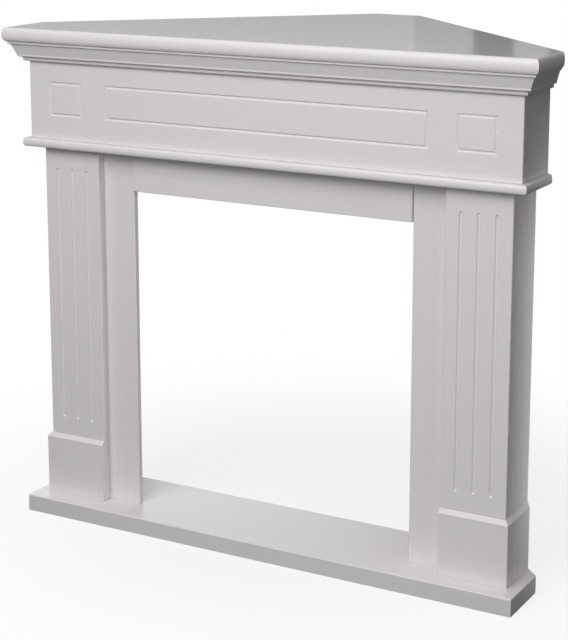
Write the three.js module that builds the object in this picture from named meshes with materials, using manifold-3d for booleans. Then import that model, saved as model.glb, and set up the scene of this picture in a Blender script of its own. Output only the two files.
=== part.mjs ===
// Fireplace mantelpiece for the corner of a room, in painted board.
// Millimetres, +Z up, the front faces -Y. Plan depths are measured back from the hearth's front
// edge, and the origin is under the middle of the whole object.
import * as THREE from "three";
import { mergeVertices } from "three/addons/utils/BufferGeometryUtils.js";
import Module from "manifold-3d";

// Heights, from the floor up
const HEARTH_T = 34; // hearth board
const OPENING_H = 650; // firebox opening
const HEADER_H = 78; // board over the opening
const LEDGE_T = 17; // bullnosed board that carries the frieze
const FRIEZE_H = 193; // frieze boards, up to the shelf
const SHELF_T = 28;

// Widths, out from the middle
const OPENING_W = 604;
const SLIP_SHOW = 71; // slip that shows beside the opening
const PILASTER_W = 129;
const FRIEZE_OVERHANG = 21; // frieze past the pilasters
const HEARTH_OVERHANG = 32; // hearth past the pilasters
const APEX_W = 104; // blunt corner of the shelf that points into the room's corner

// Depths
const PILASTER_FACE = 46; // set back from the hearth's front edge
const FRIEZE_PROUD = 16.5; // frieze in front of the pilasters
const HEARTH_DEPTH = 200;
const HEARTH_RETURN = 122; // square end of the hearth, before it turns along the wall
const SKIRTING_GAP = 14; // lower boards keep clear of the wall line that the shelf meets

// Boards
const SLIP_T = 12;
const HEADER_T = 18;
const PILASTER_T = 19;
const SIDE_T = 18;
const FRIEZE_T = 22;
const SIDE_REVEAL = 1; // side boards sit in from the front boards' ends
const JOINT = 0.3; // glue line between neighbouring pieces

// Plinth boards, thicker than the pilaster that stands on them and bevelled back to its faces
const PLINTH_H = 128;
const PLINTH_PROUD = 8;
const PLINTH_BEVEL_H = 8;

// Flutes, cut with a round-nosed tool
const FLUTE_COUNT = 3;
const FLUTE_PITCH = 34.4;
const FLUTE_R = 4;
const FLUTE_DEPTH = 2.7;
const FLUTE_FOOT = 36; // above the plinth boards
const FLUTE_HEAD = 44; // below the ledge

// V-grooved panels on the frieze
const PANEL_H = 62;
const PANEL_FOOT = 49.5; // above the ledge
const LONG_PANEL_W = 682;
const SQUARE_PANEL_W = 70;
const GROOVE_W = 6;
const GROOVE_DEPTH = 2.8;

// Ledge and shelf edges: overhang past the frieze and depth of the rounded part
const LEDGE_OUT = 12.5;
const LEDGE_ROUND = 4;
const SHELF_OUT = 38.5;
const SHELF_ROUND = 7;
const EDGE_STEPS = 10;

// Crown moulding under the shelf: projections from the frieze and heights from its own foot
const CROWN_H = 39.5;
const BEAD_OUT = 9;
const BEAD_H = 7;
const BEAD_EASE = 2; // bevel under the bead
const LIP_OUT = 17.5;
const LIP_H = 3.5;
const UNDERCUT = 3; // rise of the crown's underside from the bead to the lip
const SLOPE_OUT = 26;
const TOP_STRIP_OUT = 30.5;
const TOP_STRIP_H = 4;
const TOP_STEP_H = 1.5;

// Levels
const HEARTH_TOP = HEARTH_T;
const PLINTH_TOP = HEARTH_TOP + PLINTH_H;
const OPENING_TOP = HEARTH_TOP + OPENING_H;
const LEDGE_FOOT = OPENING_TOP + HEADER_H;
const LEDGE_TOP = LEDGE_FOOT + LEDGE_T;
const SHELF_FOOT = LEDGE_TOP + FRIEZE_H;

// Plan lines
const OPENING_X = OPENING_W / 2;
const PILASTER_IN = OPENING_X + SLIP_SHOW;
const PILASTER_OUT = PILASTER_IN + PILASTER_W;
const FRIEZE_X = PILASTER_OUT + FRIEZE_OVERHANG;
const FRIEZE_FACE = PILASTER_FACE - FRIEZE_PROUD;
const HEARTH_X = PILASTER_OUT + HEARTH_OVERHANG;
const SLIP_FACE = PILASTER_FACE + PILASTER_T + JOINT;
const SLIP_BACK = SLIP_FACE + SLIP_T;
const LEG_SIDE_X = PILASTER_OUT - SIDE_REVEAL;
const LEG_SIDE_IN = LEG_SIDE_X - SIDE_T;
const FRIEZE_SIDE_X = FRIEZE_X - SIDE_REVEAL;

// The walls run at 45 degrees, so a wall line is a fixed sum of distance out and depth
const LOWER_WALL = HEARTH_X + HEARTH_RETURN;
const UPPER_WALL = LOWER_WALL + SKIRTING_GAP * Math.SQRT2;
const SHELF_FRONT = FRIEZE_FACE - SHELF_OUT;
const SHELF_BACK = UPPER_WALL - APEX_W / 2;

const manifold = await Module();
manifold.setup();

function satinWhite() {
  return new THREE.MeshStandardMaterial({ color: 0xe9e7e4, roughness: 0.42, metalness: 0 });
}

function piece(name, geometry, height) {
  const mesh = new THREE.Mesh(geometry, satinWhite());
  mesh.name = name;
  mesh.position.z = height;
  return mesh;
}

// A closed skin over rings of points; the first and last ring are capped from their flat outline,
// which runs anticlockwise, and without an outline the last ring joins the first
function skin(rings, outline) {
  const count = rings[0].length;
  const faces = [];
  const spans = outline ? rings.length - 1 : rings.length;
  for (let r = 0; r < spans; r += 1) {
    const here = r * count;
    const next = ((r + 1) % rings.length) * count;
    for (let i = 0; i < count; i += 1) {
      const j = (i + 1) % count;
      faces.push([here + i, here + j, next + j], [here + i, next + j, next + i]);
    }
  }
  if (outline) {
    const end = (rings.length - 1) * count;
    for (const [i, j, k] of THREE.ShapeUtils.triangulateShape(outline, [])) {
      faces.push([i, k, j], [end + i, end + j, end + k]);
    }
  }
  const points = rings.flat();
  const volume = faces.reduce((sum, [i, j, k]) => sum + points[i].dot(points[j].clone().cross(points[k])), 0);
  const outward = volume > 0 ? faces : faces.map(([i, j, k]) => [i, k, j]);
  const geometry = new THREE.BufferGeometry().setFromPoints(points);
  geometry.setIndex(outward.flat());
  return geometry;
}

function asManifold(geometry) {
  const bare = geometry.clone();
  bare.deleteAttribute("normal");
  bare.deleteAttribute("uv");
  const merged = mergeVertices(bare, 1e-4);
  const corners = merged.index.array;
  const triVerts = [];
  for (let i = 0; i < corners.length; i += 3) {
    const [a, b, c] = corners.slice(i, i + 3);
    if (a !== b && b !== c && c !== a) triVerts.push(a, b, c);
  }
  const vertProperties = merged.getAttribute("position").array;
  const mesh = new manifold.Mesh({ numProp: 3, vertProperties, triVerts: Uint32Array.from(triVerts) });
  return new manifold.Manifold(mesh);
}

function cut(geometry, cutters) {
  const cutAway = (body, cutter) => body.subtract(asManifold(cutter));
  const { vertProperties, triVerts } = cutters.reduce(cutAway, asManifold(geometry)).getMesh();
  const result = new THREE.BufferGeometry();
  result.setAttribute("position", new THREE.BufferAttribute(vertProperties, 3));
  result.setIndex(new THREE.BufferAttribute(triVerts, 1));
  return result;
}

// A plain board between two corners in plan, as high as given
function boardGeometry(x0, x1, y0, y1, height) {
  const geometry = new THREE.BoxGeometry(Math.abs(x1 - x0), y1 - y0, height);
  return geometry.translate((x0 + x1) / 2, (y0 + y1) / 2, height / 2);
}

function prism(plan, height) {
  const shape = new THREE.Shape(plan.map(([x, y]) => new THREE.Vector2(x, y)));
  return new THREE.ExtrudeGeometry(shape, { depth: height, bevelEnabled: false });
}

// Six-sided plan that sits in a corner: square front and ends, then along both walls
function cornerPlan(halfWidth, front, wall, backHalfWidth) {
  const right = [
    [halfWidth, front],
    [halfWidth, wall - halfWidth],
    [backHalfWidth, wall - backHalfWidth],
  ];
  const left = right.map(([x, y]) => [-x, y]).reverse();
  return [...right, ...left];
}

// A corner board whose front and ends are rounded to half an ellipse
function roundedBoard(thickness, overhang, round, backHalfWidth) {
  const rings = [];
  for (let step = 0; step <= EDGE_STEPS; step += 1) {
    const angle = Math.PI * (step / EDGE_STEPS - 0.5);
    const out = overhang - round * (1 - Math.cos(angle));
    const height = (thickness * (1 + Math.sin(angle))) / 2;
    const plan = cornerPlan(FRIEZE_X + out, FRIEZE_FACE - out, UPPER_WALL, backHalfWidth);
    rings.push(plan.map(([x, y]) => new THREE.Vector3(x, y, height)));
  }
  return skin(rings, rings[0].map((p) => new THREE.Vector2(p.x, p.y)));
}

// Plan of a board that runs back from a front board's end to the wall line
function sidePlan(inner, outer, front, wall) {
  return [[inner, front], [outer, front], [outer, wall - outer], [inner, wall - inner]];
}

function hearthBoard() {
  const plan = cornerPlan(HEARTH_X, 0, LOWER_WALL, LOWER_WALL - HEARTH_DEPTH);
  return piece("hearth_board", prism(plan, HEARTH_T), 0);
}

function slip(side, name) {
  const outer = LEG_SIDE_IN - JOINT;
  const height = LEDGE_FOOT - HEARTH_TOP - JOINT;
  const geometry = boardGeometry(side * OPENING_X, side * outer, SLIP_FACE, SLIP_BACK, height);
  return piece(name, geometry, HEARTH_TOP + JOINT);
}

function header() {
  const reach = OPENING_X - JOINT;
  const geometry = boardGeometry(-reach, reach, SLIP_BACK - HEADER_T, SLIP_BACK, HEADER_H);
  return piece("header_board", geometry, OPENING_TOP);
}

// Fluted board of a pilaster, standing on the plinth
function flutedFront(side, name) {
  const height = LEDGE_FOOT - PLINTH_TOP - JOINT;
  const back = PILASTER_FACE + PILASTER_T;
  const board = boardGeometry(side * PILASTER_IN, side * PILASTER_OUT, PILASTER_FACE, back, height);
  const head = height - FLUTE_HEAD;
  const middle = side * (PILASTER_IN + PILASTER_W / 2);
  const flutes = [];
  for (let i = 0; i < FLUTE_COUNT; i += 1) {
    const flute = new THREE.CapsuleGeometry(FLUTE_R, head - FLUTE_FOOT - 2 * FLUTE_R, 4, 16);
    flute.rotateX(Math.PI / 2);
    const x = middle + (i - (FLUTE_COUNT - 1) / 2) * FLUTE_PITCH;
    flutes.push(flute.translate(x, PILASTER_FACE + FLUTE_DEPTH - FLUTE_R, (FLUTE_FOOT + head) / 2));
  }
  return piece(name, cut(board, flutes), PLINTH_TOP + JOINT);
}

function legSide(side, name) {
  const height = LEDGE_FOOT - PLINTH_TOP - JOINT;
  const plan = sidePlan(LEG_SIDE_IN, LEG_SIDE_X, SLIP_FACE, LOWER_WALL);
  return piece(name, prism(plan.map(([x, y]) => [side * x, y]), height), PLINTH_TOP + JOINT);
}

// A plinth board as rings of its plan, which draws in at the bevel to the faces above
function plinthBoard(side, name, planAt) {
  const levels = [
    [PLINTH_PROUD, 0],
    [PLINTH_PROUD, PLINTH_H - PLINTH_BEVEL_H - JOINT],
    [0, PLINTH_H - JOINT],
  ];
  const rings = levels.map(([proud, height]) =>
    planAt(proud).map(([x, y]) => new THREE.Vector3(side * x, y, height)));
  const outline = planAt(PLINTH_PROUD).map(([x, y]) => new THREE.Vector2(x, y));
  return piece(name, skin(rings, outline), HEARTH_TOP + JOINT);
}

function plinthFront(side, name) {
  const back = SLIP_FACE - JOINT;
  return plinthBoard(side, name, (proud) => [
    [PILASTER_IN, PILASTER_FACE - proud],
    [PILASTER_OUT + proud, PILASTER_FACE - proud],
    [PILASTER_OUT + proud, back],
    [PILASTER_IN, back],
  ]);
}

function plinthSide(side, name) {
  return plinthBoard(side, name, (proud) =>
    sidePlan(LEG_SIDE_IN, LEG_SIDE_X + proud, SLIP_FACE, LOWER_WALL));
}

function ledge() {
  const backHalfWidth = UPPER_WALL - HEARTH_DEPTH;
  const geometry = roundedBoard(LEDGE_T - JOINT, LEDGE_OUT, LEDGE_ROUND, backHalfWidth);
  return piece("ledge_board", geometry, LEDGE_FOOT + JOINT);
}

// V-groove round a rectangle on the frieze's face, centred at x and height z
function panelGroove(x, z, width, height) {
  const corner = (right, up) => {
    const at = (offset, y) =>
      new THREE.Vector3(x + right * (width / 2 + offset), y, z + up * (height / 2 + offset));
    // The cutter's section starts a groove's depth in front of the face, at twice its width
    return [
      at(GROOVE_W, FRIEZE_FACE - GROOVE_DEPTH),
      at(-GROOVE_W, FRIEZE_FACE - GROOVE_DEPTH),
      at(0, FRIEZE_FACE + GROOVE_DEPTH),
    ];
  };
  return skin([corner(1, -1), corner(1, 1), corner(-1, 1), corner(-1, -1)]);
}

function friezeFront() {
  const height = FRIEZE_H - JOINT;
  const board = boardGeometry(-FRIEZE_X, FRIEZE_X, FRIEZE_FACE, FRIEZE_FACE + FRIEZE_T, height);
  const middle = PANEL_FOOT + PANEL_H / 2;
  const overPilaster = PILASTER_IN + PILASTER_W / 2;
  const grooves = [
    panelGroove(0, middle, LONG_PANEL_W, PANEL_H),
    panelGroove(-overPilaster, middle, SQUARE_PANEL_W, PANEL_H),
    panelGroove(overPilaster, middle, SQUARE_PANEL_W, PANEL_H),
  ];
  return piece("frieze_front", cut(board, grooves), LEDGE_TOP + JOINT);
}

function friezeSide(side, name) {
  const front = FRIEZE_FACE + FRIEZE_T + JOINT;
  const plan = sidePlan(FRIEZE_SIDE_X - SIDE_T, FRIEZE_SIDE_X, front, UPPER_WALL);
  return piece(name, prism(plan.map(([x, y]) => [side * x, y]), FRIEZE_H - JOINT), LEDGE_TOP + JOINT);
}

// Section of the crown moulding, as projection from the frieze and height above its foot
function crownSection() {
  const lipFoot = BEAD_H + UNDERCUT;
  const top = CROWN_H - JOINT;
  const stripFoot = top - TOP_STRIP_H;
  return [
    [JOINT, 0],
    [BEAD_OUT - BEAD_EASE, 0],
    [BEAD_OUT, BEAD_EASE],
    [BEAD_OUT, BEAD_H],
    [LIP_OUT, lipFoot],
    [LIP_OUT, lipFoot + LIP_H],
    [SLOPE_OUT, stripFoot - TOP_STEP_H],
    [TOP_STRIP_OUT, stripFoot],
    [TOP_STRIP_OUT, top],
    [JOINT, top],
  ].map(([out, height]) => new THREE.Vector2(out, height));
}

// One mitred length of crown moulding between two ends, each giving the plan point for a projection
function crownLength(name, ends) {
  const section = crownSection();
  const rings = ends.map((end) => section.map((p) => new THREE.Vector3(...end(p.x), p.y)));
  return piece(name, skin(rings, section), SHELF_FOOT - CROWN_H + JOINT);
}

function crown() {
  const trim = JOINT * Math.SQRT1_2; // each side of a mitre
  const frontEnd = (side) => (out) => [side * (FRIEZE_X + out - trim), FRIEZE_FACE - out];
  const returnMitre = (side) => (out) => [side * (FRIEZE_X + out), FRIEZE_FACE - out + trim];
  const wallEnd = (side) => (out) => [side * (FRIEZE_X + out), UPPER_WALL - FRIEZE_X - out];
  return [
    crownLength("crown_front", [frontEnd(-1), frontEnd(1)]),
    crownLength("crown_left", [returnMitre(-1), wallEnd(-1)]),
    crownLength("crown_right", [returnMitre(1), wallEnd(1)]),
  ];
}

function shelf() {
  const geometry = roundedBoard(SHELF_T - JOINT, SHELF_OUT, SHELF_ROUND, APEX_W / 2);
  return piece("shelf", geometry, SHELF_FOOT + JOINT);
}

const mantelpiece = new THREE.Group();
mantelpiece.add(hearthBoard(), header(), ledge(), friezeFront(), ...crown(), shelf());
for (const [side, hand] of [[-1, "left"], [1, "right"]]) {
  mantelpiece.add(
    plinthFront(side, `plinth_front_${hand}`),
    plinthSide(side, `plinth_side_${hand}`),
    flutedFront(side, `pilaster_front_${hand}`),
    legSide(side, `pilaster_side_${hand}`),
    slip(side, `slip_${hand}`),
    friezeSide(side, `frieze_side_${hand}`),
  );
}
mantelpiece.position.y = -(SHELF_FRONT + SHELF_BACK) / 2;

export default mantelpiece;
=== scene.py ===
from math import cos, radians, sin

import bmesh
import bpy
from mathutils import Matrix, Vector


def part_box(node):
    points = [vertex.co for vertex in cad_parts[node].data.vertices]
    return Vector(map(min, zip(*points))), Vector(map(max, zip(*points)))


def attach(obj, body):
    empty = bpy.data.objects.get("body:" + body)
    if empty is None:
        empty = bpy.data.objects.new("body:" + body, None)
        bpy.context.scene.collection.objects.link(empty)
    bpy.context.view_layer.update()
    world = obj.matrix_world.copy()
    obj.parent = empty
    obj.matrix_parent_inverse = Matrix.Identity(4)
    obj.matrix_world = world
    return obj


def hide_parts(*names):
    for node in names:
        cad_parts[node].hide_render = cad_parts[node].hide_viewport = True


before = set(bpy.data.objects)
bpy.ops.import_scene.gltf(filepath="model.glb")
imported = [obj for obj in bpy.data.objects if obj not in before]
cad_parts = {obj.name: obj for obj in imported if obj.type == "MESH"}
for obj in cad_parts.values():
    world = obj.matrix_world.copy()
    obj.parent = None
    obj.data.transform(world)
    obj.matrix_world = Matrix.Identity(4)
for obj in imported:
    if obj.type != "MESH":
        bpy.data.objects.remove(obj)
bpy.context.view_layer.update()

bl_info = {
    "name": "Corner mantelpiece",
    "version": (1, 0, 0),
    "blender": (4, 5, 0),
    "location": "3D Viewport > Sidebar > Mantelpiece",
    "description": "Painted corner mantelpiece with fluted pilasters, a panelled frieze and a deep shelf",
    "category": "Object",
}

MM = 0.001

# How far behind the hearth's front the ends of the hearth and of the shelf meet the walls
HEARTH_MEETS_WALL = 0.122
SHELF_MEETS_WALL = 0.1143

# Along a wall at 45 degrees, the distance out from the middle and the depth add up to one sum
WALL_ANGLE = radians(45)
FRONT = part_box("hearth_board")[0].y
LOWER_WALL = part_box("hearth_board")[1].x + HEARTH_MEETS_WALL + FRONT
UPPER_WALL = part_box("shelf")[1].x + SHELF_MEETS_WALL + FRONT

# What counts as one level or place, as an upright edge, and as inside a board's outline
NEAR = 0.00002
UPRIGHT = 0.01
INSIDE = 0.01

# Corners closer than this are merged, also on a board that was drawn out, and shorter edges go
SAME_CORNER = 0.00001
SAME_DRAWN_CORNER = 0.00005
TINY_EDGE = 0.000005

# Faces that turn by less than this are shaded as one round surface
SMOOTH_BELOW = radians(38)

# Roundings that follow the arris or the joint edge, as shares of it
HEARTH_ARRIS = 1.2
HEADER_ARRIS = 0.8
PLINTH_EDGE = 3
SIDE_EDGE = 2.4

# Small roundings of their own
FLUTE_RIM = 0.0009
GROOVE_VALLEY = 0.0009
GROOVE_RIM = 0.0006
CROWN_EDGE = 0.0007

# A full rounding stops just short of the middle, so that no face folds over
FULL_NOSE = 0.99
FULL_EDGE = 0.999


# Working tools

def let_go():
    """Leaves edit mode with nothing selected."""
    if bpy.context.object and bpy.context.object.mode != "OBJECT":
        bpy.ops.object.mode_set(mode="OBJECT")
    bpy.ops.object.select_all(action="DESELECT")


def take(piece):
    """Makes one piece the only selected and the active one."""
    let_go()
    piece.select_set(True)
    bpy.context.view_layer.objects.active = piece


def work_on(piece):
    """Goes into edit mode on one piece, with all of it selected."""
    take(piece)
    bpy.ops.object.mode_set(mode="EDIT")
    bpy.ops.mesh.select_all(action="SELECT")


def settle(piece, name):
    """Puts a new primitive's place into its mesh, and names it."""
    bpy.ops.object.transform_apply(location=True, rotation=True, scale=True)
    piece.name = piece.data.name = name
    return piece


def block(name, low, high):
    """A sawn block between two corners."""
    let_go()
    low, high = Vector(low), Vector(high)
    bpy.ops.mesh.primitive_cube_add(size=1, location=(low + high) / 2, scale=high - low)
    return settle(bpy.context.object, name)


def pick(piece, kind, wanted):
    """Selects the edges or the faces that the test wants, in edit mode."""
    bpy.context.tool_settings.mesh_select_mode = (False, kind == "edges", kind == "faces")
    mesh = bmesh.from_edit_mesh(piece.data)
    for item in (*mesh.faces, *mesh.edges, *mesh.verts):
        item.select = False
    found = [item for item in getattr(mesh, kind) if wanted(item)]
    for item in found:
        item.select_set(True)
    bmesh.update_edit_mesh(piece.data)
    if not found:
        raise RuntimeError(f"{piece.name}: none of its {kind} fits")


def ends(edge):
    """The places of an edge's two ends."""
    return edge.verts[0].co, edge.verts[1].co


def lies_at(edge, axis, value):
    """Whether both ends of an edge are at one value of an axis."""
    return all(abs(end[axis] - value) < NEAR for end in ends(edge))


def bends(edge, degrees):
    """Whether the faces beside an edge turn by more than an angle."""
    return edge.calc_face_angle(0) > radians(degrees)


def faces_front(face):
    """Whether a face looks straight to the front."""
    return face.normal.y < -0.999


def round_over(piece, wanted, radius, segments=3):
    """Rounds the edges that the test wants."""
    work_on(piece)
    pick(piece, "edges", wanted)
    bpy.ops.mesh.bevel(offset=radius, segments=segments, profile=0.5, affect="EDGES", clamp_overlap=True)
    let_go()


def round_uprights(piece, front, radius):
    """Rounds the upright edges of a board's front face."""
    def upright(edge):
        return lies_at(edge, 1, front) and abs(ends(edge)[0].z - ends(edge)[1].z) > UPRIGHT

    round_over(piece, upright, radius)


def round_rim(piece, low, high, level, radius, segments):
    """Rounds the front and end edges of a level board at one height."""
    def rim(edge):
        return lies_at(edge, 2, level) and (
            lies_at(edge, 1, low.y) or lies_at(edge, 0, low.x) or lies_at(edge, 0, high.x))

    round_over(piece, rim, radius, segments)


def soften(piece, radius, segments=2, above=30):
    """Takes the sharpness off every edge that still bends by more than some degrees."""
    round_over(piece, lambda edge: edge.is_manifold and bends(edge, above), radius, segments)


def saw(piece, point, outward):
    """Cuts away what lies beyond a plane, and closes the cut."""
    work_on(piece)
    bpy.ops.mesh.bisect(plane_co=point, plane_no=outward, use_fill=True, clear_outer=True)
    let_go()


def saw_along_wall(piece, wall, side):
    """Cuts a board off along the right wall, side 1, or the left wall, side -1."""
    saw(piece, (side * wall, 0, 0), (side * cos(WALL_ANGLE), sin(WALL_ANGLE), 0))


def mirrored(piece, name):
    """A copy for the left side, with its own mesh."""
    take(piece)
    bpy.ops.object.duplicate(linked=False)
    copy = bpy.context.object
    bpy.ops.transform.resize(value=(-1, 1, 1), center_override=(0, 0, 0))
    settle(copy, name)
    work_on(copy)
    bpy.ops.mesh.normals_make_consistent(inside=False)
    let_go()
    return copy


def finish_piece(piece, node, paint):
    """Cleans the mesh, smooths its rounded edges, paints it and sets it in the place of its node."""
    work_on(piece)
    bpy.ops.mesh.remove_doubles(threshold=SAME_CORNER)
    bpy.ops.mesh.dissolve_degenerate(threshold=TINY_EDGE)
    bpy.ops.mesh.select_all(action="SELECT")
    bpy.ops.mesh.normals_make_consistent(inside=False)
    take(piece)
    bpy.ops.object.shade_smooth_by_angle(angle=SMOOTH_BELOW)
    flats = piece.modifiers.new("flats", "WEIGHTED_NORMAL")
    flats.keep_sharp = True
    bpy.ops.object.modifier_apply(modifier=flats.name)
    piece.data.materials.clear()
    piece.data.materials.append(paint)
    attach(piece, "root")
    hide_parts(node)
    let_go()


def finish_pair(piece, node, paint):
    """Finishes a right-hand piece, and a mirrored copy of it for the left side."""
    copy = mirrored(piece, f"painted_{node}_left")
    finish_piece(piece, node + "_right", paint)
    finish_piece(copy, node + "_left", paint)


# Paint

# Noise lies mostly between these values, and the paint's tone turns between those
NOISE_RANGE = (0.3, 0.7)
TONE_RANGE = (0.34, 0.62)

# How far the brushing takes the roughness down and up, and how high its marks are
SMOOTHER, ROUGHER = 0.05, 0.06
MARK_HEIGHT = 0.0004
PAINT_IOR = 1.48

# Depths under a board's top between which the paint turns from that of the edges to that of the top, first
# for the painted shade that darkens the edges, then for the gloss
PAINTED_SHADE_BAND = (0.004, 0.0008)
GLOSS_BAND = (0.002, 0.0002)


def satin_paint(name, along, marks=1.0, matt=0.0, top_of=None, painted_edge_shade=1.0, top_gloss=0.0):
    """White satin paint, brushed along one axis, on boards sanded the same way.

    marks is how far the brushing shows, and matt how much duller than the rest the coat is. Where
    top_of names a level board, top_gloss is how much smoother its top is than its edges, and
    painted_edge_shade is how bright the paint is on its edges, a painted shade that darkens them below the
    top."""
    if name in bpy.data.materials:
        return bpy.data.materials[name]
    finish = bpy.context.scene.mantel_finish
    material = bpy.data.materials.new(name)
    material.use_nodes = True
    nodes, links = material.node_tree.nodes, material.node_tree.links
    nodes.clear()

    def node(kind, label, **settings):
        made = nodes.new(kind)
        made.label = label
        for key, value in settings.items():
            setattr(made, key, value)
        return made

    place = node("ShaderNodeTexCoord", "place on the piece")

    def brushed(label, length, width, detail):
        """Noise drawn out along the brushing, with marks of about this length and width."""
        stretch = node("ShaderNodeMapping", label + " stretch")
        sizes = [length if axis == along else width for axis in range(3)]
        stretch.inputs["Scale"].default_value = [1 / size for size in sizes]
        noise = node("ShaderNodeTexNoise", label)
        noise.inputs["Scale"].default_value = 1.0
        noise.inputs["Detail"].default_value = detail
        noise.inputs["Roughness"].default_value = 0.55
        links.new(place.outputs["Object"], stretch.inputs["Vector"])
        links.new(stretch.outputs["Vector"], noise.inputs["Vector"])
        return noise.outputs["Fac"]

    def spread(label, value, low, high, start, stop):
        """Turns values from start to stop into values from low to high."""
        scale = node("ShaderNodeMapRange", label)
        for key, number in {"From Min": start, "From Max": stop, "To Min": low, "To Max": high}.items():
            scale.inputs[key].default_value = number
        links.new(value, scale.inputs["Value"])
        return scale.outputs["Result"]

    def reckon(label, operation, first, second):
        """One sum, on patterns or plain numbers."""
        step = node("ShaderNodeMath", label, operation=operation)
        for socket, value in zip(step.inputs, (first, second)):
            if isinstance(value, float):
                socket.default_value = value
            else:
                links.new(value, socket)
        return step.outputs["Value"]

    def mixture(label, *parts):
        """Adds up patterns, each taken with its share."""
        shares = [reckon(label + " share", "MULTIPLY", pattern, share) for pattern, share in parts]
        total = shares.pop()
        while shares:
            total = reckon(label, "ADD", shares.pop(), total)
        return total

    streaks = brushed("brush streaks", length=0.16, width=0.0016, detail=3.0)
    hairs = brushed("fine brush hairs", length=0.09, width=0.0007, detail=2.0)
    clouds = brushed("uneven coat", length=0.45, width=0.06, detail=2.0)
    peel = brushed("lacquer peel", length=0.0016, width=0.0016, detail=2.0)

    ramp = node("ShaderNodeValToRGB", "paint tone")
    shaded, full = ramp.color_ramp.elements
    shaded.position, full.position = TONE_RANGE
    shaded.color = (*Vector(finish.paint).lerp(Vector(finish.paint_shade), marks), 1)
    full.color = (*finish.paint, 1)
    links.new(mixture("tone", (streaks, 0.5), (clouds, 0.5)), ramp.inputs["Fac"])
    paint_colour = ramp.outputs["Color"]

    coat = finish.roughness + matt
    roughness = spread("satin", mixture("satin mix", (clouds, 0.6), (streaks, 0.4)),
                       coat - SMOOTHER * marks, coat + ROUGHER * marks, *NOISE_RANGE)

    if top_of:
        apart = node("ShaderNodeSeparateXYZ", "height on the board")
        links.new(place.outputs["Object"], apart.inputs["Vector"])
        level, top = apart.outputs["Z"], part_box(top_of)[1].z
        painted_shade_band = [top - depth for depth in PAINTED_SHADE_BAND]
        gloss_band = [top - depth for depth in GLOSS_BAND]
        # Painted shade: the paint is darkened on the board's edges below its top, where less light falls
        # than on the top
        darker = node("ShaderNodeVectorMath", "painted edge shade", operation="SCALE")
        links.new(paint_colour, darker.inputs[0])
        links.new(spread("painted shade on the edges", level, painted_edge_shade, 1.0, *painted_shade_band), darker.inputs["Scale"])
        paint_colour = darker.outputs["Vector"]
        laid_flat = spread("laid flat on top", level, 0.0, top_gloss, *gloss_band)
        roughness = reckon("smoother top", "SUBTRACT", roughness, laid_flat)

    bump = node("ShaderNodeBump", "brush marks")
    bump.inputs["Strength"].default_value = finish.brush_marks * marks
    bump.inputs["Distance"].default_value = MARK_HEIGHT
    links.new(mixture("surface", (streaks, 0.55), (hairs, 0.3), (peel, 0.15)), bump.inputs["Height"])

    shader = node("ShaderNodeBsdfPrincipled", "satin paint")
    shader.inputs["IOR"].default_value = PAINT_IOR
    links.new(paint_colour, shader.inputs["Base Color"])
    links.new(roughness, shader.inputs["Roughness"])
    links.new(bump.outputs["Normal"], shader.inputs["Normal"])
    out = node("ShaderNodeOutputMaterial", "out")
    links.new(shader.outputs["BSDF"], out.inputs["Surface"])
    return material


def paint_level():
    return satin_paint("satin_paint_level", 0, marks=1.15)


def paint_deep():
    return satin_paint("satin_paint_deep", 1, marks=0.1)


def paint_upright():
    return satin_paint("satin_paint_upright", 2, marks=0.3)


def paint_plinth():
    return satin_paint("satin_paint_plinth", 2, marks=0.11)


def paint_hearth():
    # The hearth's front and ends get painted shade, darker below its top than the top itself
    return satin_paint("satin_paint_hearth", 0, marks=0.14, matt=0.07, top_of="hearth_board", painted_edge_shade=0.9)


def paint_ledge():
    return satin_paint("satin_paint_ledge", 0, marks=0.7, matt=0.09)


def paint_shelf():
    return satin_paint("satin_paint_shelf", 0, marks=0.12, matt=0.11, top_of="shelf", top_gloss=0.27)


# Sizes and colours

def length(name, description, default, high=0.2):
    return bpy.props.FloatProperty(name=name, description=description, default=default, min=0.0, max=high,
                                   subtype="DISTANCE", unit="LENGTH", precision=4)


def colour(name, description, default):
    return bpy.props.FloatVectorProperty(name=name, description=description, default=default, size=3,
                                         min=0.0, max=1.0, subtype="COLOR")


def amount(name, description, default, high=1.0):
    return bpy.props.FloatProperty(name=name, description=description, default=default, min=0.0, max=high)


class MantelSizes(bpy.types.PropertyGroup):
    """Sizes of the edges, flutes and grooves; the boards themselves follow the frame."""
    arris: length("Arris", "Rounding of the edges that show", 0.0020)
    joint_edge: length("Joint edge", "Softening of the edges where boards meet", 0.0005)
    plinth_chamfer: length("Plinth chamfer", "Slope on top of the plinth boards", 0.008)
    flute_radius: length("Flute radius", "Radius of the round-nosed cutter", 0.004)
    flute_depth: length("Flute depth", "Depth of the flutes", 0.0027)
    flute_pitch: length("Flute pitch", "Distance between the flutes", 0.0344)
    flute_foot: length("Flute foot", "From the pilaster's foot to the flutes", 0.0357)
    flute_head: length("Flute head", "From the flutes to the pilaster's head", 0.044)
    groove_width: length("Groove width", "Width of the V grooves on the frieze", 0.006)
    groove_depth: length("Groove depth", "Depth of the V grooves", 0.0028)
    panel_height: length("Panel height", "Height of the grooved panels", 0.062)
    panel_foot: length("Panel foot", "From the frieze's foot to the panels", 0.0495)
    long_panel: length("Long panel", "Width of the middle panel", 0.682, 1.0)
    square_panel: length("Square panel", "Width of the end panels", 0.070)
    square_place: length("Square panel place", "From the middle to an end panel's middle", 0.4375, 1.0)
    ledge_round: length("Ledge rounding", "Depth of the ledge's rounded edge", 0.004)
    shelf_round: length("Shelf rounding", "Depth of the shelf's rounded edge", 0.007)


class MantelFinish(bpy.types.PropertyGroup):
    """Colours and gloss of the paint and the floor."""
    paint: colour("Paint", "The white paint where it lies thick", (0.80, 0.768, 0.781))
    paint_shade: colour("Paint shade", "The paint in the streaks between", (0.778, 0.747, 0.760))
    roughness: amount("Roughness", "How matt the satin finish is", 0.27)
    brush_marks: amount("Brush marks", "How strongly the brush marks stand out", 0.14)
    floor: colour("Floor", "The pale floor", (0.86, 0.86, 0.86))


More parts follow.
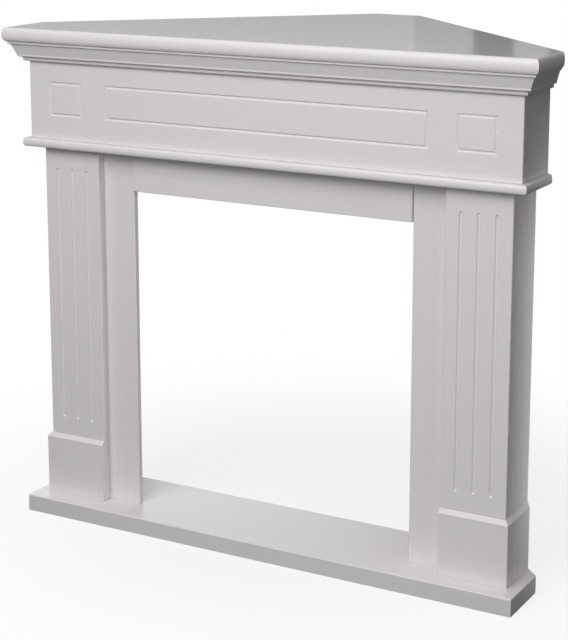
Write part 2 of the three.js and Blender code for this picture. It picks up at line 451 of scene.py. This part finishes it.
class MantelLight(bpy.types.PropertyGroup):
    """Strength of the studio lights, in watts for the soft boxes and panes."""
    key: amount("Key", "Large soft box in front, to the right and above the shelf", 31.0, 1000.0)
    fill: amount("Fill", "Large soft box high in front, a little to the left", 34.5, 1000.0)
    edge: amount("Edge", "Tall soft box at the right that picks out the upright edges", 3.3, 1000.0)
    side: amount("Side", "Tall soft box with a narrow beam, beside the right pilaster", 0.88, 1000.0)
    rear: amount("Rear", "Low soft box behind that lights the boards' backs", 33.0, 1000.0)
    window: amount("Window", "Panes behind at the left that shine in the shelf's top", 5.7, 1000.0)
    top: amount("Top", "Wide light from above", 0.70, 50.0)
    back: amount("Back", "Wide light from above and behind", 0.15, 50.0)
    room: amount("Room", "Light from all round", 0.06, 10.0)
    backdrop: amount("Backdrop", "How bright the room looks behind the object", 1.0, 10.0)


# Pieces

class MANTEL_OT_hearth(bpy.types.Operator):
    """Makes the hearth board, cut to the walls at its back corners"""
    bl_idname = "mantel.hearth"
    bl_label = "Hearth board"

    def execute(self, context):
        sizes = context.scene.mantel_sizes
        low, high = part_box("hearth_board")
        board = block("painted_hearth_board", low, high)
        round_rim(board, low, high, high.z, sizes.arris * HEARTH_ARRIS, 4)
        for side in (1, -1):
            saw_along_wall(board, LOWER_WALL, side)
        soften(board, sizes.joint_edge)
        finish_piece(board, "hearth_board", paint_hearth())
        return {"FINISHED"}


class MANTEL_OT_plinths(bpy.types.Operator):
    """Makes the chamfered plinth boards at the feet, fronts and sides"""
    bl_idname = "mantel.plinths"
    bl_label = "Plinth boards"

    def execute(self, context):
        sizes = context.scene.mantel_sizes
        for node in ("plinth_front", "plinth_side"):
            low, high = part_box(node + "_right")
            board = block(f"painted_{node}_right", low, high)

            def upper_edge(edge):
                return lies_at(edge, 2, high.z) and (
                    lies_at(edge, 0, high.x) or (node == "plinth_front" and lies_at(edge, 1, low.y)))

            round_over(board, upper_edge, sizes.plinth_chamfer, 1)
            if node == "plinth_side":
                saw_along_wall(board, LOWER_WALL, 1)
            else:
                round_uprights(board, low.y, sizes.arris)
            soften(board, sizes.joint_edge * PLINTH_EDGE, segments=3, above=20)
            finish_pair(board, node, paint_plinth())
        return {"FINISHED"}


def flute_cutter(radius, place, foot, head):
    """An upright cutter with round noses at both ends."""
    let_go()
    bpy.ops.mesh.primitive_cylinder_add(vertices=28, radius=radius, depth=head - foot,
                                        location=(*place, (foot + head) / 2))
    cutter = settle(bpy.context.object, "round_nosed_cutter")
    round_over(cutter, lambda edge: lies_at(edge, 2, foot) or lies_at(edge, 2, head), radius * FULL_NOSE, 7)
    return cutter


class MANTEL_OT_pilasters(bpy.types.Operator):
    """Makes the fluted pilaster boards and the plain boards behind them"""
    bl_idname = "mantel.pilasters"
    bl_label = "Pilasters"

    def execute(self, context):
        sizes = context.scene.mantel_sizes
        low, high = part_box("pilaster_front_right")
        board = block("painted_pilaster_front_right", low, high)
        round_uprights(board, low.y, sizes.arris)
        soften(board, sizes.joint_edge)

        radius = sizes.flute_radius
        foot, head = low.z + sizes.flute_foot, high.z - sizes.flute_head
        middle, axis = (low.x + high.x) / 2, low.y + sizes.flute_depth - radius
        cutters = [flute_cutter(radius, (middle + step * sizes.flute_pitch, axis), foot, head)
                   for step in (-1, 0, 1)]
        for cutter in cutters:
            cut = board.modifiers.new("flute", "BOOLEAN")
            cut.operation, cut.solver, cut.object = "DIFFERENCE", "EXACT", cutter
            take(board)
            bpy.ops.object.modifier_apply(modifier=cut.name)
            bpy.data.objects.remove(cutter)

        def flute_rim(edge):
            end = ends(edge)[0]
            return (lies_at(edge, 1, low.y) and edge.is_manifold and bends(edge, 35)
                    and low.x + INSIDE < end.x < high.x - INSIDE
                    and low.z + INSIDE < end.z < high.z - INSIDE)

        round_over(board, flute_rim, FLUTE_RIM, 2)
        finish_pair(board, "pilaster_front", paint_upright())

        side = block("painted_pilaster_side_right", *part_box("pilaster_side_right"))
        saw_along_wall(side, LOWER_WALL, 1)
        soften(side, sizes.joint_edge * SIDE_EDGE)
        finish_pair(side, "pilaster_side", paint_upright())
        return {"FINISHED"}


class MANTEL_OT_opening(bpy.types.Operator):
    """Makes the slips beside the firebox opening and the header over it"""
    bl_idname = "mantel.opening"
    bl_label = "Slips and header"

    def execute(self, context):
        sizes = context.scene.mantel_sizes
        low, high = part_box("slip_right")
        slip = block("painted_slip_right", low, high)
        round_over(slip, lambda edge: lies_at(edge, 1, low.y) and lies_at(edge, 0, low.x), sizes.arris)
        soften(slip, sizes.joint_edge)
        finish_pair(slip, "slip", paint_upright())

        low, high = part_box("header_board")
        header = block("painted_header_board", low, high)
        round_over(header, lambda edge: lies_at(edge, 1, low.y) and not lies_at(edge, 2, high.z),
                   sizes.arris * HEADER_ARRIS)
        soften(header, sizes.joint_edge)
        finish_piece(header, "header_board", paint_level())
        return {"FINISHED"}


def bullnosed(name, node, rounding):
    """A board with its front and end edges rounded to a half ellipse, cut to both walls."""
    low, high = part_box(node)
    thickness, middle = high.z - low.z, (low.z + high.z) / 2
    # The edges are rounded while the board is thin, then it is drawn out to its thickness
    foot, head = middle - rounding, middle + rounding
    board = block(name, (low.x, low.y, foot), (high.x, high.y, head))
    for level in (head, foot):
        round_rim(board, low, high, level, rounding * FULL_EDGE, 8)
    work_on(board)
    bpy.ops.transform.resize(value=(1, 1, thickness / (2 * rounding)), center_override=(0, 0, middle))
    bpy.ops.mesh.remove_doubles(threshold=SAME_DRAWN_CORNER)
    let_go()
    for side in (1, -1):
        saw_along_wall(board, UPPER_WALL, side)
    return board


class MANTEL_OT_ledge(bpy.types.Operator):
    """Makes the bullnosed ledge board over the pilasters"""
    bl_idname = "mantel.ledge"
    bl_label = "Ledge board"

    def execute(self, context):
        sizes = context.scene.mantel_sizes
        board = bullnosed("painted_ledge_board", "ledge_board", sizes.ledge_round)
        soften(board, sizes.joint_edge, above=40)
        finish_piece(board, "ledge_board", paint_ledge())
        return {"FINISHED"}


def score_face(board, front, point, across):
    """Draws a line across a board's front face."""
    work_on(board)
    pick(board, "faces", lambda face: faces_front(face) and abs(face.calc_center_median().y - front) < NEAR)
    bpy.ops.mesh.bisect(plane_co=point, plane_no=across, use_fill=False)
    let_go()


class MANTEL_OT_frieze(bpy.types.Operator):
    """Makes the frieze: a front board with three grooved panels, and a plain board at each side"""
    bl_idname = "mantel.frieze"
    bl_label = "Frieze boards"

    def execute(self, context):
        sizes = context.scene.mantel_sizes
        low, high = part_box("frieze_front")
        board = block("painted_frieze_front", low, high)
        round_uprights(board, low.y, sizes.arris)
        soften(board, sizes.joint_edge)

        # Lines along the outer rims of the grooves mark the panels out
        half = sizes.groove_width / 2
        panels = [(0.0, sizes.long_panel), (-sizes.square_place, sizes.square_panel),
                  (sizes.square_place, sizes.square_panel)]
        foot = low.z + sizes.panel_foot - half
        head = foot + sizes.panel_height + 2 * half
        for middle, width in panels:
            for end in (-1, 1):
                score_face(board, low.y, (middle + end * (width / 2 + half), 0, 0), (1, 0, 0))
        for level in (foot, head):
            score_face(board, low.y, (0, 0, level), (0, 0, 1))

        def on_panel(face):
            place = face.calc_center_median()
            return (faces_front(face) and foot < place.z < head
                    and any(abs(place.x - middle) < MM for middle, width in panels))

        # Each groove goes down over half its width and up again over the other half
        work_on(board)
        pick(board, "faces", on_panel)
        for depth in (-sizes.groove_depth, sizes.groove_depth):
            bpy.ops.mesh.inset(thickness=half, depth=depth, use_even_offset=True)
        let_go()

        def valley(edge):
            return lies_at(edge, 1, low.y + sizes.groove_depth) and bends(edge, 20)

        def rim(edge):
            return lies_at(edge, 1, low.y) and bends(edge, 20) and all(
                foot - NEAR < end.z < head + NEAR for end in ends(edge))

        round_over(board, valley, GROOVE_VALLEY, 3)
        round_over(board, rim, GROOVE_RIM, 2)
        finish_piece(board, "frieze_front", paint_level())

        side = block("painted_frieze_side_right", *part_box("frieze_side_right"))
        saw_along_wall(side, UPPER_WALL, 1)
        soften(side, sizes.joint_edge * SIDE_EDGE)
        finish_pair(side, "frieze_side", paint_deep())
        return {"FINISHED"}


# Distance out from the frieze and height above the crown's foot, in millimetres
CROWN_SECTION = [(0.3, 0), (7, 0), (9, 2), (9, 7), (17.5, 10), (17.5, 13.5), (26, 33.7), (30.5, 35.2),
                 (30.5, 39.2), (0.3, 39.2)]

# What the mouldings have in hand at a mitre before they are sawn, the rough length of the side ones, and
# how far each mitred face keeps back from the mitre
CROWN_SPARE = 0.04
CROWN_SIDE = 0.25
MITRE_GAP = 0.00015


def moulding(name, corners, along):
    """A moulding drawn in section, corner by corner, and pushed out to its length."""
    let_go()
    bpy.ops.mesh.primitive_plane_add(size=MM, location=corners[0])
    strip = settle(bpy.context.object, name)
    work_on(strip)
    bpy.ops.mesh.select_mode(type="VERT")
    bpy.ops.mesh.merge(type="CENTER")
    for here, there in zip(corners, corners[1:]):
        bpy.ops.mesh.extrude_region_move(TRANSFORM_OT_translate={"value": there - here})
    bpy.ops.mesh.select_all(action="SELECT")
    bpy.ops.mesh.edge_face_add()
    bpy.ops.mesh.extrude_region_move(TRANSFORM_OT_translate={"value": along})
    bpy.ops.mesh.select_all(action="SELECT")
    bpy.ops.mesh.normals_make_consistent(inside=False)
    run = along.normalized()

    def runs_along(edge):
        first, last = ends(edge)
        return abs((last - first).normalized().dot(run)) > 0.99 and bends(edge, 12)

    round_over(strip, runs_along, CROWN_EDGE)
    return strip


class MANTEL_OT_crown(bpy.types.Operator):
    """Makes the crown moulding under the shelf, mitred at both corners"""
    bl_idname = "mantel.crown"
    bl_label = "Crown moulding"

    def execute(self, context):
        frieze_low, frieze_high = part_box("frieze_front")
        face, corner = frieze_low.y, frieze_high.x
        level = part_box("crown_front")[0].z
        mitre = corner + face

        reach = corner + CROWN_SPARE
        corners = [Vector((-reach, face - out * MM, level + up * MM)) for out, up in CROWN_SECTION]
        strip = moulding("painted_crown_front", corners, Vector((2 * reach, 0, 0)))
        for side in (1, -1):
            saw_along_wall(strip, mitre - MITRE_GAP, side)
        finish_piece(strip, "crown_front", paint_level())

        start = face - CROWN_SPARE
        corners = [Vector((corner + out * MM, start, level + up * MM)) for out, up in CROWN_SECTION]
        strip = moulding("painted_crown_right", corners, Vector((0, CROWN_SIDE, 0)))
        saw(strip, (mitre + MITRE_GAP, 0, 0), (-cos(WALL_ANGLE), -sin(WALL_ANGLE), 0))
        saw_along_wall(strip, UPPER_WALL, 1)
        finish_pair(strip, "crown", paint_deep())
        return {"FINISHED"}


class MANTEL_OT_shelf(bpy.types.Operator):
    """Makes the deep shelf, bullnosed at its front and ends and cut square along the walls"""
    bl_idname = "mantel.shelf"
    bl_label = "Shelf"

    def execute(self, context):
        sizes = context.scene.mantel_sizes
        board = bullnosed("painted_shelf", "shelf", sizes.shelf_round)
        soften(board, sizes.joint_edge, above=40)
        finish_piece(board, "shelf", paint_shelf())
        return {"FINISHED"}


# Stage

MIDDLE = (0, -0.2, 0.5)

# The floor is a disc just under the hearth, which clears between two distances from its middle. It
# starts clearer than three quarters, because a render shows a thin ring where it passes that share
FLOOR_RADIUS = 1.32
FLOOR_DROP = 0.0005
FADE_START, FADE_END = 0.1, 1.3
LEAST_CLEAR = 0.76
DARKER_PATCH = 0.985

# The window's two narrower panes, as shares of the large pane's strength
MIDDLE_PANE = 0.075
END_PANE = 0.042

SIDE_BEAM = radians(24)

# The picture's size, its lens and the row of its optical middle, in pixels, the sensor's width in
# millimetres, and the camera's place, all fitted to the photograph
PICTURE = (568, 640)
PICTURE_LENS = 1735
PICTURE_MIDDLE = 200
SENSOR = 36
CAMERA_PLACE = (1.5931, -3.0202, 1.3291)
CAMERA_TILT = radians(90 - 11.197)
CAMERA_TURN = radians(29.279)


def floor_paint():
    """Pale matt floor that fades into the room a few steps away from the object."""
    finish = bpy.context.scene.mantel_finish
    material = bpy.data.materials.new("studio_floor")
    material.use_nodes = True
    nodes, links = material.node_tree.nodes, material.node_tree.links
    shader, out = nodes["Principled BSDF"], nodes["Material Output"]
    place, noise, ramp, reach, fade, mix, clear = (nodes.new(kind) for kind in (
        "ShaderNodeTexCoord", "ShaderNodeTexNoise", "ShaderNodeValToRGB", "ShaderNodeVectorMath",
        "ShaderNodeMapRange", "ShaderNodeMixShader", "ShaderNodeBsdfTransparent"))
    noise.inputs["Scale"].default_value = 3.0
    darker, full = ramp.color_ramp.elements
    darker.color = (*[part * DARKER_PATCH for part in finish.floor], 1)
    full.color = (*finish.floor, 1)
    links.new(place.outputs["Object"], noise.inputs["Vector"])
    links.new(noise.outputs["Fac"], ramp.inputs["Fac"])
    links.new(ramp.outputs["Color"], shader.inputs["Base Color"])
    shader.inputs["Roughness"].default_value = 0.85
    shader.inputs["Specular IOR Level"].default_value = 0.1
    reach.operation = "LENGTH"
    fade.interpolation_type = "SMOOTHERSTEP"
    for key, number in {"From Min": FADE_START, "From Max": FADE_END, "To Min": LEAST_CLEAR}.items():
        fade.inputs[key].default_value = number
    links.new(place.outputs["Object"], reach.inputs[0])
    links.new(reach.outputs["Value"], fade.inputs["Value"])
    links.new(fade.outputs["Result"], mix.inputs["Fac"])
    links.new(shader.outputs["BSDF"], mix.inputs[1])
    links.new(clear.outputs["BSDF"], mix.inputs[2])
    links.new(mix.outputs["Shader"], out.inputs["Surface"])
    return material


def lay_floor():
    """A pale disc that the hearth stands on."""
    let_go()
    bpy.ops.mesh.primitive_circle_add(vertices=96, radius=FLOOR_RADIUS, fill_type="NGON",
                                      location=(0, 0, -FLOOR_DROP))
    floor = settle(bpy.context.object, "studio_floor")
    floor.data.materials.append(floor_paint())


def lamp(kind, name, strength, place, target):
    """A light that faces its target and isn't seen itself."""
    bpy.ops.object.light_add(type=kind, location=place)
    made = bpy.context.object
    made.name = made.data.name = name
    made.data.energy = strength
    made.visible_camera = False
    made.location = place
    made.rotation_euler = (Vector(target) - Vector(place)).to_track_quat("-Z", "Y").to_euler()
    return made


def soft_box(name, strength, place, size, target):
    """A flat lamp with a width and a height."""
    made = lamp("AREA", name, strength, place, target)
    made.data.shape = "RECTANGLE"
    made.data.size, made.data.size_y = size
    return made


def wide_light(name, strength, place, angle):
    """Light from one side of the sky, with soft shadows."""
    lamp("SUN", name, strength, place, MIDDLE).data.angle = angle


def hang_lights(light):
    """The lamps of the studio, each with its place, its size and where it faces."""
    soft_box("key_light", light.key, (0.9, -2.9, 1.8), (1.8, 1.6), (0.1, -0.2, 0.6))
    soft_box("fill_light", light.fill, (-0.35, -2.4, 2.3), (1.6, 1.4), MIDDLE)
    soft_box("edge_light", light.edge, (2.6, -1.45, 1.0), (0.4, 1.6), (0.5, -0.2, 0.5))
    side = soft_box("side_light", light.side, (1.6, 0.1, 0.4), (0.35, 0.72), (0.5, 0.05, 0.4))
    side.data.spread = SIDE_BEAM
    soft_box("rear_light", light.rear, (-2.0, 2.4, 0.3), (1.8, 0.5), (0, -0.1, 0.5))
    pane, middle_pane, end_pane = (light.window * share for share in (1.0, MIDDLE_PANE, END_PANE))
    soft_box("window_light", pane, (-3.05, 3.83, 1.6), (2.7, 1.6), (0, 0.1, 1.0))
    soft_box("window_light_middle", middle_pane, (-1.466, 3.83, 1.6), (0.27, 1.6), (0.2, 0, 1.0))
    soft_box("window_light_end", end_pane, (-1.055, 3.83, 1.6), (0.15, 1.6), (0.45, 0, 1.0))
    wide_light("top_light", light.top, (-0.6, -1.0, 5.0), radians(70))
    wide_light("back_light", light.back, (-1.5, 3.0, 4.0), radians(60))


def surround(light):
    """A white room that gives less light than it shows."""
    world = bpy.data.worlds.new("studio")
    world.use_nodes = True
    nodes, links = world.node_tree.nodes, world.node_tree.links
    nodes.clear()
    room, backdrop, path, mix, out = (nodes.new(kind) for kind in (
        "ShaderNodeBackground", "ShaderNodeBackground", "ShaderNodeLightPath", "ShaderNodeMixShader",
        "ShaderNodeOutputWorld"))
    for background, strength in ((room, light.room), (backdrop, light.backdrop)):
        background.inputs["Strength"].default_value = strength
        background.inputs["Color"].default_value = (1, 1, 1, 1)
    links.new(path.outputs["Is Camera Ray"], mix.inputs["Fac"])
    links.new(room.outputs["Background"], mix.inputs[1])
    links.new(backdrop.outputs["Background"], mix.inputs[2])
    links.new(mix.outputs["Shader"], out.inputs["Surface"])
    bpy.context.scene.world = world
    bpy.context.scene.view_settings.view_transform = "Standard"


def set_camera():
    """Looks from the right and a little above, with a part of the photograph's lens shift."""
    bpy.ops.object.camera_add(location=CAMERA_PLACE, rotation=(CAMERA_TILT, 0, CAMERA_TURN))
    camera = bpy.context.object
    camera.name = camera.data.name = "camera"
    camera.data.sensor_width = SENSOR
    camera.data.lens = PICTURE_LENS / max(PICTURE) * SENSOR
    camera.data.shift_y = (PICTURE_MIDDLE - PICTURE[1] / 2) / max(PICTURE)
    camera.data.clip_end = 200
    bpy.context.scene.camera = camera


class MANTEL_OT_stage(bpy.types.Operator):
    """Sets the pale floor, the soft lights and the camera"""
    bl_idname = "mantel.stage"
    bl_label = "Floor, lights and camera"

    def execute(self, context):
        lay_floor()
        hang_lights(context.scene.mantel_light)
        surround(context.scene.mantel_light)
        set_camera()
        return {"FINISHED"}


class MANTEL_PT_panel(bpy.types.Panel):
    """Lists the pieces of the mantelpiece with their sizes and colours"""
    bl_label = "Mantelpiece"
    bl_idname = "MANTEL_PT_panel"
    bl_space_type = "VIEW_3D"
    bl_region_type = "UI"
    bl_category = "Mantelpiece"

    def draw(self, context):
        for operator in OPERATORS:
            self.layout.operator(operator.bl_idname)
        for group in (context.scene.mantel_sizes, context.scene.mantel_finish, context.scene.mantel_light):
            box = self.layout.box()
            for name in group.bl_rna.properties.keys():
                if name not in ("rna_type", "name"):
                    box.prop(group, name)


OPERATORS = (MANTEL_OT_hearth, MANTEL_OT_plinths, MANTEL_OT_pilasters, MANTEL_OT_opening, MANTEL_OT_ledge,
             MANTEL_OT_frieze, MANTEL_OT_crown, MANTEL_OT_shelf, MANTEL_OT_stage)
CLASSES = (MantelSizes, MantelFinish, MantelLight, *OPERATORS, MANTEL_PT_panel)


def register():
    for cls in CLASSES:
        bpy.utils.register_class(cls)
    bpy.types.Scene.mantel_sizes = bpy.props.PointerProperty(type=MantelSizes)
    bpy.types.Scene.mantel_finish = bpy.props.PointerProperty(type=MantelFinish)
    bpy.types.Scene.mantel_light = bpy.props.PointerProperty(type=MantelLight)


def unregister():
    del bpy.types.Scene.mantel_light
    del bpy.types.Scene.mantel_finish
    del bpy.types.Scene.mantel_sizes
    for cls in reversed(CLASSES):
        bpy.utils.unregister_class(cls)


def main():
    register()
    for operator in OPERATORS:
        group, name = operator.bl_idname.split(".")
        getattr(getattr(bpy.ops, group), name)()


if __name__ == "__main__":
    main()
